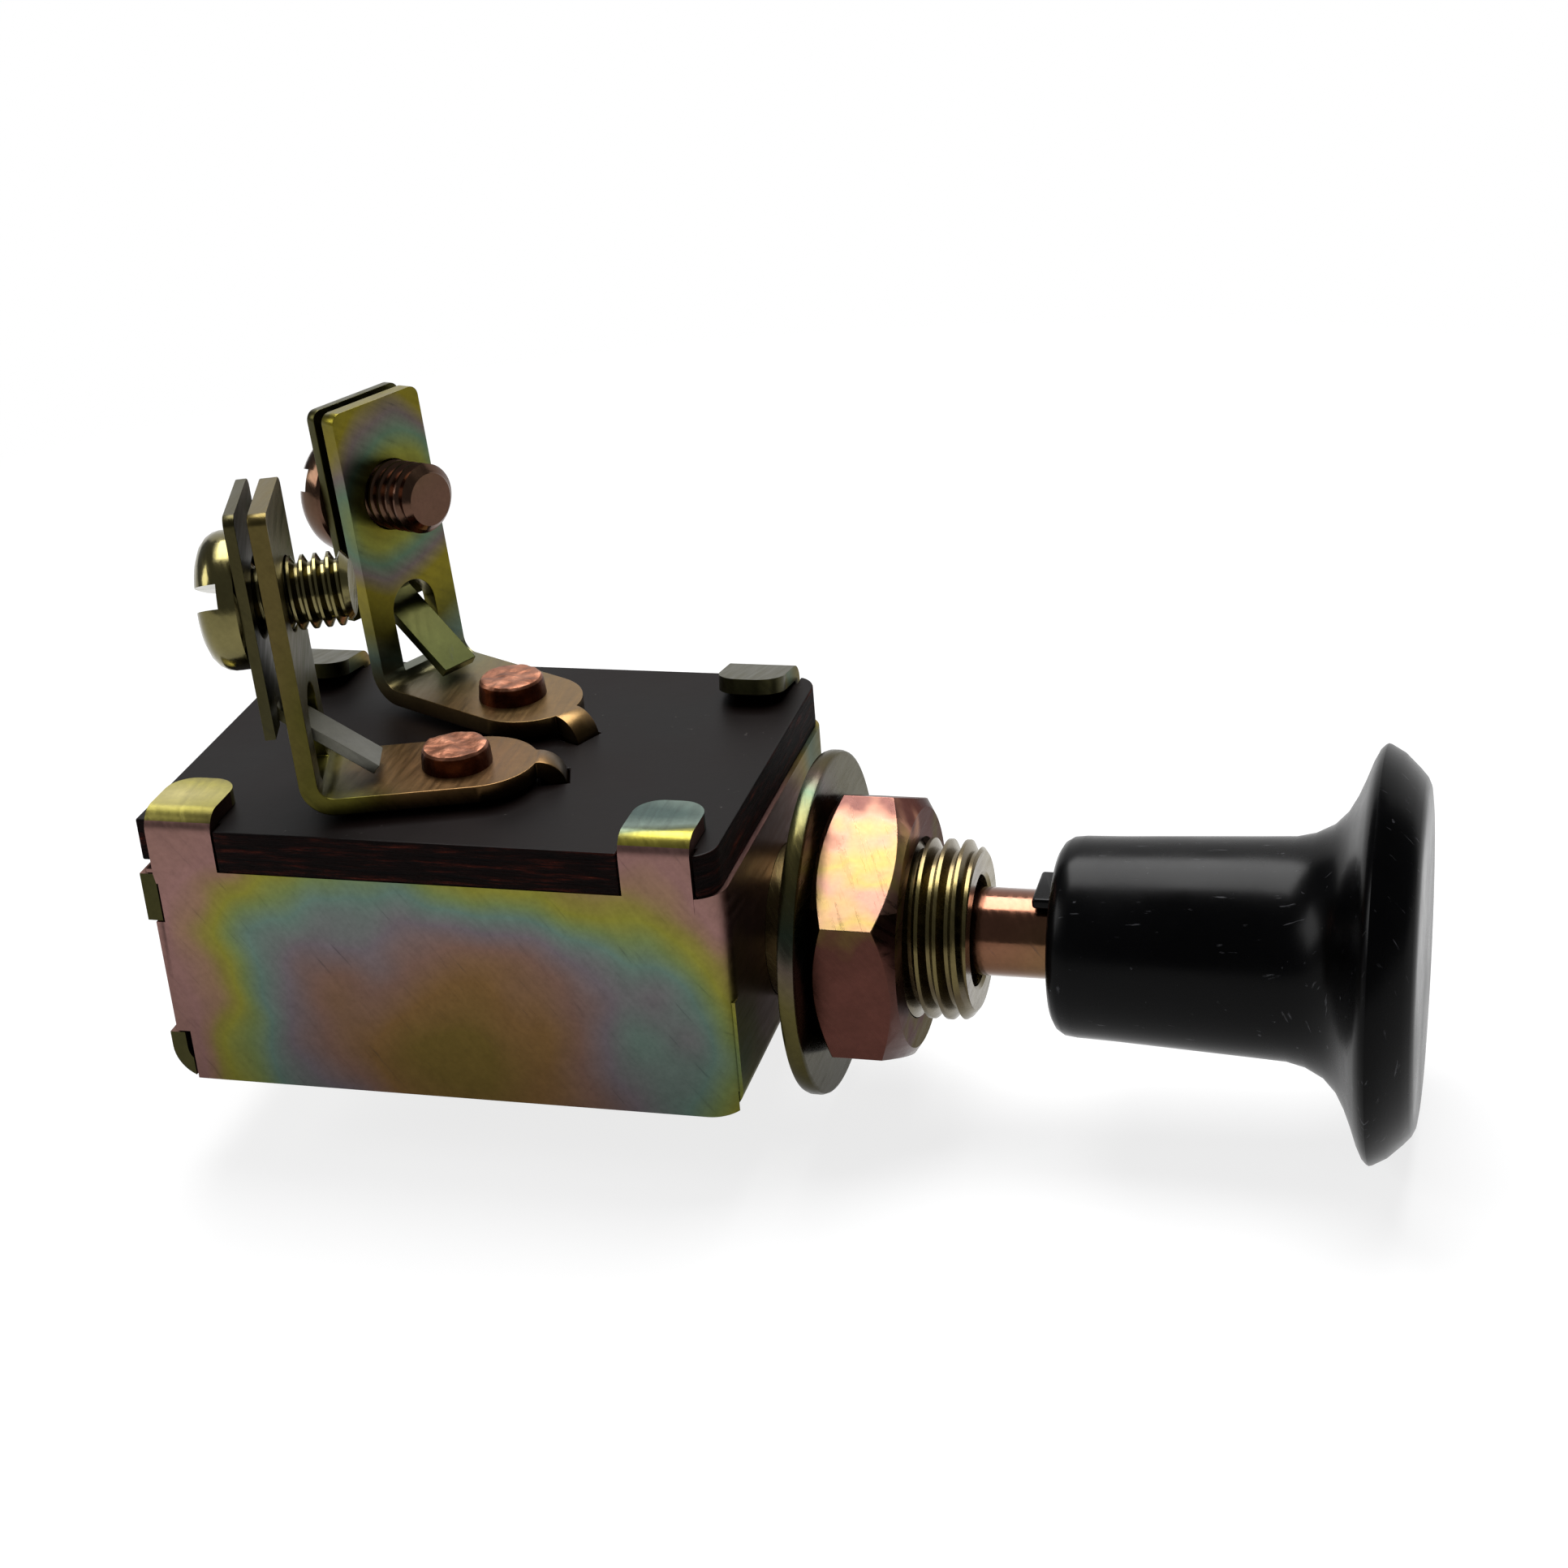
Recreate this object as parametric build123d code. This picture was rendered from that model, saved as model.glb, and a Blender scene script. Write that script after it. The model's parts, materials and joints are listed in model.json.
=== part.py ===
from build123d import *
import os
from math import cos, radians, sin, tan

# Push-pull light switch for a dashboard. X runs along the shaft towards the knob, Y across the case
# and Z up through the terminal board. The origin is on the shaft's axis, in the case's front face,
# which lies against the panel. All lengths are in millimetres and all angles in degrees.

# Fits
running_clearance = 0.05
seat_clearance = 0.05
slide_clearance = 0.25
seam_gap = 0.1

# Case, folded from one sheet
sheet = 0.9
case_length = 32.65
case_width = 23.0
wall_height = 13.3
axis_height = 6.0
corner_bend = 1.8
front_bend = 1.2
back_bend = 2.0
back_offset = 0.45
back_top_gap = 0.3
ear_height = 2.9
relief_depth = 0.8
relief_height = 3.05

# Tabs that hold the board
tab_width = 3.9
tab_reach = 4.5
tab_bend = 0.3
tab_round = 1.5
rear_tab_inset = 0.35
front_tab_setback = 1.4
far_tab_lift = 10.0

# Terminal board
board_thickness = 2.5
board_front_inset = 0.25
board_overhang = 0.7
board_corner = 1.6

# Terminal straps
strap_thickness = 1.0
strap_width = 6.5
strap_height = 17.3
strap_bend = 0.9
strap_corner = 0.6
strap_lift = 0.35
near_angle = 17.6
far_angle = -26.0
near_lean = 1.5
far_lean = 4.5
rivet_setback = 8.2
rivet_x = -16.55
rivet_spread = 9.1
shoulder_reach = 1.1
shoulder_share = 0.6
shoulder_fullness = 0.8
prong_reach = 5.9
prong_width = 1.7
prong_depth = 2.3
prong_bend = 0.6
window_width = 3.2
window_bottom = 1.4
window_top = 6.4

# Contact rivets
rivet_shank_radius = 1.4
rivet_head_radius = 1.95
rivet_head_height = 1.25
collar_radius = 2.2
contact_radius = 2.3
contact_height = 0.9

# Terminal screws, M4
screw_radius = 2.0
screw_height = 11.7
screw_tip = 3.3
screw_head_radius = 3.75
screw_head_height = 2.5
screw_head_round = 0.9
screw_point = 0.4
slot_width = 1.3
slot_depth = 1.4
slot_turn = -25.0

# Wire clamp plates
clamp_thickness = 0.6
clamp_gap = 0.65
clamp_bottom = 4.8
clamp_rise = 0.1
clamp_corner = 0.6
tongue_width = 2.4
tongue_angle = 40.0
tongue_drop = 4.35
tongue_reach = 4.0
tongue_bend = 0.5

# Threaded bushing, M10, with its nut and washer
thread_radius = 5.0
bushing_length = 11.2
neck_radius = 4.3
rim_radius = 4.7
rim_thickness = 0.8
bushing_chamfer = 0.7
bushing_mouth_radius = 3.3
bushing_mouth_depth = 1.2
panel_gap = 2.05
washer_radius = 9.65
washer_thickness = 1.0
nut_across_flats = 14.3
nut_thickness = 4.8
nut_chamfer_angle = 33.0
nut_chamfer_inset = 0.45
nut_turn = 33.7

# Plunger
travel = 8.0
stop_gap = 0.3
shaft_radius = 2.45
tail_radius = 1.9
groove_radius = 1.4
ring_radius = 3.2
ring_thickness = 0.7
ring_mouth = 2.4
tail_end = 1.0

# Knob
knob_gap = 4.35
knob_flange_plane = 17.25
knob_bore_depth = 12.5
# The rounded heel, as distance ahead of the knob's back and radius
knob_heel = [(0, 4.75), (0.75, 5.5)]
# The flare and the rim, as distance ahead of the widest plane and radius
knob_flare = [(-4.6, 6.05), (-2.5, 6.7), (-1.35, 8.3), (-0.65, 10.5)]
knob_rim = [(0, 11.25), (1.4, 10.35), (2.4, 9.1)]
lug_length = 1.2
lug_width = 3.4
lug_height = 3.05

# Carriage, contact bridge and detent
carriage_width = 15.0
carriage_top_gap = 0.5
bridge_length = 13.6
bridge_width = 4.4
bridge_thickness = 0.8
bridge_corner = 1.0
contact_gap = 0.2
bridge_drop = 0.6
spring_clearance = 0.2
leaf_length = 9.0
leaf_width = 3.4
leaf_thickness = 0.3
leaf_rise = 1.5
detent_ball_radius = 0.8
wire_radius = 0.15
detent_spring_radius = 0.45
detent_spring_turns = 3.0
detent_spring_height = 2.4
detent_offset = 5.0
detent_setback = 2.0
detent_hole_radius = 0.5

# Levels and places that follow from the sizes above
half_width = case_width / 2
case_bottom = -axis_height
wall_top = case_bottom + wall_height
floor_top = case_bottom + sheet
back_face = -case_length - back_offset
back_top = wall_top - back_top_gap
board_bottom = wall_top
board_top = wall_top + board_thickness
rivet_y = rivet_spread / 2
screw_hole_radius = screw_radius + running_clearance
rivet_hole_radius = rivet_shank_radius + seat_clearance
bushing_hole_radius = neck_radius + seat_clearance
nut_bore_radius = thread_radius + running_clearance
shaft_bore_radius = shaft_radius + running_clearance
nut_back = panel_gap + washer_thickness
rim_back = -sheet - rim_thickness
carriage_front = rim_back - travel - stop_gap
tail_tip = back_face + sheet + stop_gap
groove_back = tail_tip + tail_end
carriage_back = groove_back + ring_thickness + 2 * seat_clearance
carriage_bottom = floor_top + slide_clearance
contact_face = board_bottom - contact_height
carriage_top = contact_face - carriage_top_gap
bridge_x = rivet_x - travel
bridge_top = contact_face - contact_gap
bridge_bottom = bridge_top - bridge_thickness
channel_floor = bridge_bottom - bridge_drop
leaf_bottom = bridge_bottom - leaf_rise
detent_x = carriage_back + detent_setback + detent_spring_radius
ball_height = floor_top + running_clearance + detent_ball_radius
detent_spring_bottom = ball_height + detent_ball_radius
detent_spring_top = detent_spring_bottom + detent_spring_height
knob_back = bushing_length + knob_gap
clamp_front = -clamp_gap
clamp_back = clamp_front - clamp_thickness
clamp_top = strap_height + clamp_rise


def revolved_x(outline):
    """Turn a closed outline of (x, radius) points about the shaft's axis."""
    return revolve(make_face(Polyline(*outline, close=True)), Axis.X)


def revolved_z(outline):
    """Turn a closed outline of (radius, z) points about Z."""
    return revolve(Plane.XZ * make_face(Polyline(*outline, close=True)), Axis.Z)


def box(x0, x1, y0, y1, z0, z1):
    """A block between two corners."""
    size = Box(x1 - x0, y1 - y0, z1 - z0, align=(Align.MIN, Align.MIN, Align.MIN))
    return Pos(x0, y0, z0) * size


def bar_z(radius, z0, z1):
    """A round bar along Z, on the origin."""
    return Pos(0, 0, z0) * Cylinder(radius, z1 - z0, align=(Align.CENTER, Align.CENTER, Align.MIN))


def bar_x(radius, x0, x1):
    """A round bar along X, on the shaft's axis."""
    return Pos(x0, 0, 0) * Rot(0, 90, 0) * bar_z(radius, 0, x1 - x0)


def tab(lift):
    """One tab of the near wall, from the wall's top over the board, starting at X = 0."""
    middle = -half_width + sheet / 2
    bend_height = board_top + seat_clearance + sheet / 2
    run = tab_reach - sheet / 2
    end = (middle + run, bend_height + run * tan(radians(lift)))
    path = FilletPolyline((middle, wall_top - sheet), (middle, bend_height), end, radius=tab_bend + sheet / 2)
    strip = extrude(Plane.YZ * trace(path, sheet), tab_width)
    tip = strip.faces().sort_by(Axis.Y)[-1]
    return fillet(tip.edges().sort_by(SortBy.LENGTH)[:2], tab_round)


def case():
    path = FilletPolyline(
        (-case_length, -half_width + sheet / 2),
        (-sheet / 2, -half_width + sheet / 2),
        (-sheet / 2, half_width - sheet / 2),
        (-case_length, half_width - sheet / 2),
        radius=corner_bend - sheet / 2,
    )
    walls = Pos(0, 0, case_bottom) * extrude(trace(path, sheet), wall_height)
    strip_half = half_width - sheet - seam_gap
    clear_half = strip_half + seam_gap
    # The bottom strip takes the front wall's lower edge, and its bend leaves a slit at each side
    walls -= box(-corner_bend, 0, -clear_half, clear_half, case_bottom, case_bottom + front_bend)
    # Relief at the lower rear corners, and notches that take the back wall's ears
    relief_front = -case_length + relief_depth
    notch_front = back_face + sheet + seam_gap
    ear_bottom = back_top - ear_height
    relief_top = case_bottom + relief_height
    notch_bottom = ear_bottom - seam_gap
    notch_top = back_top + seam_gap
    walls -= box(-case_length, relief_front, -half_width, half_width, case_bottom, relief_top)
    walls -= box(-case_length, notch_front, -half_width, half_width, notch_bottom, notch_top)
    strip_path = FilletPolyline(
        (-sheet / 2, case_bottom + wall_height / 2),
        (-sheet / 2, case_bottom + sheet / 2),
        (back_face + sheet / 2, case_bottom + sheet / 2),
        (back_face + sheet / 2, back_top),
        radius=[front_bend - sheet / 2, back_bend - sheet / 2],
    )
    strip = extrude(Plane.XZ * trace(strip_path, sheet), strip_half, both=True)
    ears = box(back_face, back_face + sheet, -half_width, half_width, ear_bottom, back_top)
    # The rear bend is as wide as the case where the relief leaves it room
    wide_bend = extrude(Plane.XZ * trace(strip_path, sheet), half_width, both=True)
    bend_top = relief_top - seam_gap
    wide_bend &= box(back_face, relief_front - seam_gap, -half_width, half_width, case_bottom, bend_top)
    body = walls + strip + wide_bend + ears
    for start in (-case_length + rear_tab_inset, -front_tab_setback - tab_width):
        body += Pos(start, 0, 0) * tab(0)
        body += Pos(start, 0, 0) * mirror(tab(far_tab_lift), Plane.XZ)
    body -= bar_x(bushing_hole_radius, -2 * sheet, sheet)
    for place in (detent_x, detent_x + travel):
        body -= Pos(place, -detent_offset, 0) * bar_z(detent_hole_radius, case_bottom, floor_top)
    return body


def terminal_board():
    back = -case_length - board_overhang
    front = -board_front_inset
    board = box(back, front, -half_width, half_width, board_bottom, board_top)
    front_corners = board.edges().filter_by(Axis.Z).sort_by(Axis.X)[-2:]
    board = fillet(front_corners, board_corner)
    notch_depth = sheet + seam_gap
    rear_end = -case_length + rear_tab_inset + tab_width + seam_gap
    front_start = -front_tab_setback - tab_width - seam_gap
    front_end = -front_tab_setback + seam_gap
    notch_y = half_width - notch_depth
    for start, end in ((back, rear_end), (front_start, front_end)):
        for inner, outer in ((-half_width, -notch_y), (notch_y, half_width)):
            board -= box(start, end, inner, outer, board_bottom, board_top)
    for place in terminal_places():
        board -= place * Pos(rivet_setback, 0, 0) * bar_z(rivet_hole_radius, -strap_lift - board_thickness, 0)
        slot_end = rivet_setback + prong_reach + seam_gap
        slot_start = slot_end - strap_thickness - prong_bend - seam_gap
        slot_half = prong_width / 2 + seam_gap
        board -= place * box(slot_start, slot_end, -slot_half, slot_half, -strap_lift - board_thickness, 0)
    return board


def terminal_places():
    """The near and far terminals' frames: the upright's lower rear corner, with X along the foot."""
    foot = board_top + strap_lift
    near = Pos(rivet_x, -rivet_y, foot) * Rot(0, 0, near_angle) * Pos(-rivet_setback, 0, 0)
    far = Pos(rivet_x, rivet_y, foot) * Rot(0, 0, far_angle) * Pos(-rivet_setback, 0, 0)
    return near, far


def terminal(lean_angle):
    """A strap in its own frame, folded from one width of sheet and narrowed to its prong."""
    half = strap_thickness / 2
    lean = radians(lean_angle)
    upright = Rot(0, -lean_angle, 0)
    corner = half * (1 - sin(lean)) / cos(lean)
    top = (half * cos(lean) - strap_height * sin(lean), half * sin(lean) + strap_height * cos(lean))
    prong_x = rivet_setback + prong_reach - half
    path = FilletPolyline(
        top,
        (corner, half),
        (prong_x, half),
        (prong_x, -prong_depth),
        radius=[strap_bend + half, prong_bend + half],
    )
    strap = extrude(Plane.XZ * trace(path, strap_thickness), strap_width / 2, both=True)
    shoulder = rivet_setback + shoulder_reach
    neck = rivet_setback + prong_reach - strap_thickness - prong_bend
    bulge = (shoulder + shoulder_share * (neck - shoulder), shoulder_fullness * strap_width / 2)
    side = [
        Line((-strap_height, strap_width / 2), (shoulder, strap_width / 2)),
        ThreePointArc((shoulder, strap_width / 2), bulge, (neck, prong_width / 2)),
        Line((neck, prong_width / 2), (neck + 2 * prong_reach, prong_width / 2)),
    ]
    other = [mirror(edge, Plane.XZ) for edge in side]
    ends = [
        Line((-strap_height, strap_width / 2), (-strap_height, -strap_width / 2)),
        Line((neck + 2 * prong_reach, prong_width / 2), (neck + 2 * prong_reach, -prong_width / 2)),
    ]
    outline = make_face(side + other + ends)
    strap = strap & Pos(0, 0, -prong_depth) * extrude(outline, strap_height + 2 * prong_depth)
    top_edges = strap.faces().sort_by(Axis.Z)[-1].edges()
    strap = fillet(top_edges.sort_by(SortBy.LENGTH)[:2], strap_corner)
    across = upright * Pos(-strap_thickness, 0, screw_height) * Rot(0, 90, 0)
    strap -= across * bar_z(screw_hole_radius, 0, 3 * strap_thickness)
    arch = window_width / 2
    window = Rectangle(window_width, window_top - arch - window_bottom, align=(Align.CENTER, Align.MIN))
    window = Pos(0, window_bottom) * window + Pos(0, window_top - arch) * Circle(arch)
    strap -= upright * Pos(-strap_thickness, 0, 0) * extrude(Plane.YZ * window, 3 * strap_thickness)
    strap -= Pos(rivet_setback, 0, 0) * bar_z(rivet_hole_radius, 0, strap_thickness)
    return strap


def rivet():
    """A contact rivet in a terminal's frame: head, collar under the strap, contact under the board."""
    head_top = strap_thickness + rivet_head_height
    board_under = -strap_lift - board_thickness
    contact_bottom = board_under - contact_height
    pin = revolved_z([
        (0, head_top),
        (rivet_head_radius, head_top),
        (rivet_head_radius, strap_thickness),
        (rivet_shank_radius, strap_thickness),
        (rivet_shank_radius, 0),
        (collar_radius, 0),
        (collar_radius, -strap_lift),
        (rivet_shank_radius, -strap_lift),
        (rivet_shank_radius, board_under),
        (contact_radius, board_under),
        (contact_radius, contact_bottom),
        (0, contact_bottom),
    ])
    return Pos(rivet_setback, 0, 0) * pin


def clamp_plate():
    """A clamp plate in an upright's frame, with its tongue lanced out and bent through the window."""
    plate = box(clamp_back, clamp_front, -strap_width / 2, strap_width / 2, clamp_bottom, clamp_top)
    corners = plate.edges().filter_by(Axis.X).group_by(Axis.Z)[-1]
    plate = fillet(corners, clamp_corner)
    slope = radians(tongue_angle)
    middle = clamp_front - clamp_thickness / 2
    root = tongue_drop + (strap_thickness - middle) * tan(slope) - clamp_thickness / 2 / cos(slope)
    drop = (tongue_reach - middle) * tan(slope)
    path = FilletPolyline(
        (middle, root + screw_radius),
        (middle, root),
        (tongue_reach, root - drop),
        radius=tongue_bend + clamp_thickness / 2,
    )
    tongue = extrude(Plane.XZ * trace(path, clamp_thickness), tongue_width / 2, both=True)
    slit_half = tongue_width / 2 + seam_gap
    slit_top = root + tongue_bend + clamp_thickness
    plate -= box(clamp_back, clamp_front, -slit_half, slit_half, clamp_bottom, slit_top)
    hole_radius = screw_radius + slide_clearance
    plate += tongue
    return plate - Pos(clamp_back, 0, screw_height) * Rot(0, 90, 0) * bar_z(hole_radius, 0, clamp_thickness)


def terminal_screw():
    """A slotted screw in an upright's frame, its head against the clamp plate."""
    head_back = clamp_back - screw_head_height
    tip = strap_thickness + screw_tip
    screw = revolved_x([
        (head_back, 0),
        (head_back, screw_head_radius - screw_head_round),
        (head_back + screw_head_round, screw_head_radius),
        (clamp_back, screw_head_radius),
        (clamp_back, screw_radius),
        (tip - screw_point, screw_radius),
        (tip, screw_radius - screw_point),
        (tip, 0),
    ])
    reach = 2 * screw_head_radius
    slot = box(head_back, head_back + slot_depth, -reach, reach, -slot_width / 2, slot_width / 2)
    screw -= Rot(slot_turn, 0, 0) * slot
    return Pos(0, 0, screw_height) * screw


def bushing():
    # A relieved neck takes the panel, goes through the front wall and is staked over behind it
    return revolved_x([
        (rim_back, shaft_bore_radius),
        (rim_back, rim_radius),
        (-sheet, rim_radius),
        (-sheet, neck_radius),
        (panel_gap, neck_radius),
        (panel_gap, thread_radius),
        (bushing_length - bushing_chamfer, thread_radius),
        (bushing_length, thread_radius - bushing_chamfer),
        (bushing_length, bushing_mouth_radius),
        (bushing_length - bushing_mouth_depth, shaft_bore_radius),
    ])


def mounting_washer():
    bore = thread_radius + slide_clearance
    return bar_x(washer_radius, panel_gap, nut_back) - bar_x(bore, panel_gap, nut_back)


def mounting_nut():
    front = nut_back + nut_thickness
    corner_radius = nut_across_flats / 2 / cos(radians(30))
    hexagon = RegularPolygon(corner_radius, 6, rotation=nut_turn)
    body = Pos(nut_back, 0, 0) * extrude(Plane.YZ * hexagon, nut_thickness)
    face_radius = nut_across_flats / 2 - nut_chamfer_inset
    fall = (corner_radius - face_radius) * tan(radians(nut_chamfer_angle))
    body &= revolved_x([
        (nut_back, 0),
        (nut_back, face_radius),
        (nut_back + fall, corner_radius),
        (front - fall, corner_radius),
        (front, face_radius),
        (front, 0),
    ])
    return body - bar_x(nut_bore_radius, nut_back, front)


def shaft():
    tip = knob_back + knob_bore_depth - seat_clearance
    ring_front = groove_back + ring_thickness + seat_clearance
    return revolved_x([
        (tail_tip, 0),
        (tail_tip, tail_radius),
        (groove_back - seat_clearance, tail_radius),
        (groove_back - seat_clearance, groove_radius),
        (ring_front, groove_radius),
        (ring_front, tail_radius),
        (carriage_front, tail_radius),
        (carriage_front, shaft_radius),
        (tip, shaft_radius),
        (tip, 0),
    ])


def knob():
    bore = shaft_radius + seat_clearance
    widest = knob_back + knob_flange_plane
    bore_end = knob_back + knob_bore_depth
    heel = [(knob_back + ahead, radius) for ahead, radius in knob_heel]
    flare = [(widest + ahead, radius) for ahead, radius in knob_flare + knob_rim]
    face_centre = (flare[-1][0], 0)
    body = revolved_x([(knob_back, bore)] + heel + flare + [face_centre, (bore_end, 0), (bore_end, bore)])
    # A lug at the back shows where the knob's catch goes into the shaft
    lug_end = heel[-1][0]
    lug = box(knob_back - lug_length, lug_end, -lug_width / 2, lug_width / 2, 0, lug_height)
    return body + (lug - bar_x(bore, knob_back - lug_length, lug_end))


def carriage():
    half = carriage_width / 2
    body = box(carriage_back, carriage_front, -half, half, carriage_bottom, carriage_top)
    body -= bar_x(tail_radius + seat_clearance, carriage_back, carriage_front)
    channel_half = bridge_width / 2 + slide_clearance
    body -= box(bridge_x - channel_half, bridge_x + channel_half, -half, half, channel_floor, carriage_top)
    pocket_x = leaf_width / 2 + spring_clearance
    pocket_y = leaf_length / 2 + 2 * spring_clearance
    body -= box(bridge_x - pocket_x, bridge_x + pocket_x, -pocket_y, pocket_y, leaf_bottom, carriage_top)
    ball_pocket = detent_ball_radius + running_clearance
    spring_pocket = detent_spring_radius + wire_radius + spring_clearance
    detent_place = Pos(detent_x, -detent_offset, 0)
    body -= detent_place * bar_z(ball_pocket, carriage_bottom, detent_spring_bottom + bridge_drop)
    body -= detent_place * bar_z(spring_pocket, carriage_bottom, detent_spring_top)
    return body


def retaining_ring():
    inner = groove_radius + seat_clearance
    front = groove_back + ring_thickness
    mouth_half = ring_mouth / 2
    ring = bar_x(ring_radius, groove_back, front) - bar_x(inner, groove_back, front)
    return ring - box(groove_back, front, -mouth_half, mouth_half, -ring_radius, 0)


def contact_bridge():
    plate = extrude(RectangleRounded(bridge_width, bridge_length, bridge_corner), bridge_thickness)
    return Pos(bridge_x, 0, bridge_bottom) * plate


def contact_spring():
    """A bowed leaf across the carriage, its ends on the pocket's floor and its crown under the bridge."""
    half = leaf_length / 2
    foot = leaf_bottom + leaf_thickness / 2
    crown = bridge_bottom - leaf_thickness / 2
    bow = ThreePointArc((-half, foot), (0, crown), (half, foot))
    leaf = extrude(Plane.YZ * trace(bow, leaf_thickness), leaf_width / 2, both=True)
    room = box(-leaf_width, leaf_width, -half, half, leaf_bottom, bridge_bottom)
    return Pos(bridge_x, 0, 0) * (leaf & room)


def detent_ball():
    return Pos(detent_x, -detent_offset, ball_height) * Sphere(detent_ball_radius)


def detent_spring():
    """A coil of wire between the ball and the top of its pocket."""
    rise = detent_spring_height - 2 * wire_radius
    path = Helix(rise / detent_spring_turns, rise, detent_spring_radius)
    section = Plane(origin=path @ 0, z_dir=path % 0) * RegularPolygon(wire_radius, 4)
    coil = sweep(section, path=path)
    return Pos(detent_x, -detent_offset, detent_spring_bottom + wire_radius) * coil


pieces = {
    "case": case(),
    "terminal_board": terminal_board(),
    "bushing": bushing(),
    "mounting_washer": mounting_washer(),
    "mounting_nut": mounting_nut(),
    "shaft": shaft(),
    "knob": knob(),
    "carriage": carriage(),
    "retaining_ring": retaining_ring(),
    "contact_bridge": contact_bridge(),
    "contact_spring": contact_spring(),
    "detent_ball": detent_ball(),
    "detent_spring": detent_spring(),
}
for side, place, lean_angle in zip(("near", "far"), terminal_places(), (near_lean, far_lean)):
    upright_place = place * Rot(0, -lean_angle, 0)
    pieces[side + "_terminal"] = place * terminal(lean_angle)
    pieces[side + "_rivet"] = place * rivet()
    pieces[side + "_clamp_plate"] = upright_place * clamp_plate()
    pieces[side + "_terminal_screw"] = upright_place * terminal_screw()

os.makedirs("parts", exist_ok=True)
for name, piece in pieces.items():
    export_step(piece, f"parts/{name}.step")
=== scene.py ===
import json
from math import cos, pi, radians, sin

import bpy
from mathutils import Matrix, Vector

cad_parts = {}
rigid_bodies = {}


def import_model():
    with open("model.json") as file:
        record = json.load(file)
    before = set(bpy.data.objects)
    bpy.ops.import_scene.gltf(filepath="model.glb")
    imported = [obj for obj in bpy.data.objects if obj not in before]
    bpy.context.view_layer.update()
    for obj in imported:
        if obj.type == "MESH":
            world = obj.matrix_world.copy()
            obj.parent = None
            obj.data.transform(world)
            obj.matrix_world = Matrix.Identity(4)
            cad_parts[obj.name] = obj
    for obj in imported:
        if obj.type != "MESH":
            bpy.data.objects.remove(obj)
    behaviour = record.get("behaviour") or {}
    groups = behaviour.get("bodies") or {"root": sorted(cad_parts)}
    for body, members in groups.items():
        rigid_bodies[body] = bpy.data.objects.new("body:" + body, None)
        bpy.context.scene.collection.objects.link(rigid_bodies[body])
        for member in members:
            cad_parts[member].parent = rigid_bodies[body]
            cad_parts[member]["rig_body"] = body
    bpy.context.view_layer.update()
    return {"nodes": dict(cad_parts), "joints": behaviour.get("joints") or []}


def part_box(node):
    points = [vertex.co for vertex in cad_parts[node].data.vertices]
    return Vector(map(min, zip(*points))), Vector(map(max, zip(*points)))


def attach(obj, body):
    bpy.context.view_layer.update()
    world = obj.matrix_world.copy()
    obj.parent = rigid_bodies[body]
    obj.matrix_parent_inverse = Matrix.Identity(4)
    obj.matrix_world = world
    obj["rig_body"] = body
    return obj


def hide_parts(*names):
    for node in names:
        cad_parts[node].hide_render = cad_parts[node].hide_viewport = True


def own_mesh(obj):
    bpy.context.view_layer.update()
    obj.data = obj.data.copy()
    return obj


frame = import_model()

mm = 0.001

# The photographer's view of the switch, from its right and a little from above. The lens is a
# short telephoto, and the camera is turned slightly on its own axis.
aim = Vector((0.563, 0, 8.484)) * mm
view_distance = 157.5 * mm
azimuth = radians(16.77)
elevation = radians(25.75)
camera_turn = radians(-4.82)
towards_camera = Vector((sin(azimuth) * cos(elevation), -cos(azimuth) * cos(elevation), sin(elevation)))
level_right = Vector((cos(azimuth), sin(azimuth), 0))
level_up = towards_camera.cross(level_right)
camera_right = level_right * cos(camera_turn) + level_up * sin(camera_turn)
camera_up = level_up * cos(camera_turn) - level_right * sin(camera_turn)
camera_data = bpy.data.cameras.new("view")
camera_data.sensor_width = 36
camera_data.lens = 65.88
camera_data.clip_start = 0.01
camera = bpy.data.objects.new("view", camera_data)
bpy.context.scene.collection.objects.link(camera)
camera_axes = Matrix((camera_right, camera_up, towards_camera)).transposed()
camera.matrix_world = Matrix.LocRotScale(aim + towards_camera * view_distance, camera_axes, None)
bpy.context.scene.camera = camera
bpy.context.scene.view_settings.view_transform = "Standard"


# The table top is a plain white sheet that rises behind the switch in one soft curve. The knob's
# rim comes down to it, and the switch throws a soft shadow on it.
def new_finish(name):
    """A material with its node tree and its Principled shader."""
    material = bpy.data.materials.new(name)
    material.use_nodes = True
    return material, material.node_tree, material.node_tree.nodes["Principled BSDF"]


def add(tree, kind, sockets=(), **settings):
    """A node with its settings, and its sockets set to values or linked to other nodes' outputs."""
    node = tree.nodes.new("ShaderNode" + kind)
    for key, value in settings.items():
        setattr(node, key, value)
    for socket, value in dict(sockets).items():
        if isinstance(value, bpy.types.NodeSocket):
            tree.links.new(value, node.inputs[socket])
        else:
            node.inputs[socket].default_value = value
    return node


def multiply(tree, first, second):
    """The product of two values."""
    return add(tree, "Math", {0: first, 1: second}, operation="MULTIPLY").outputs[0]


def rescale(tree, value, source, target=(0.0, 1.0)):
    """A value carried over from one range to another, and held at the ends of the range."""
    sockets = {"Value": value, "From Min": source[0], "From Max": source[1]}
    sockets |= {"To Min": target[0], "To Max": target[1]}
    return add(tree, "MapRange", sockets).outputs[0]


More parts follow.
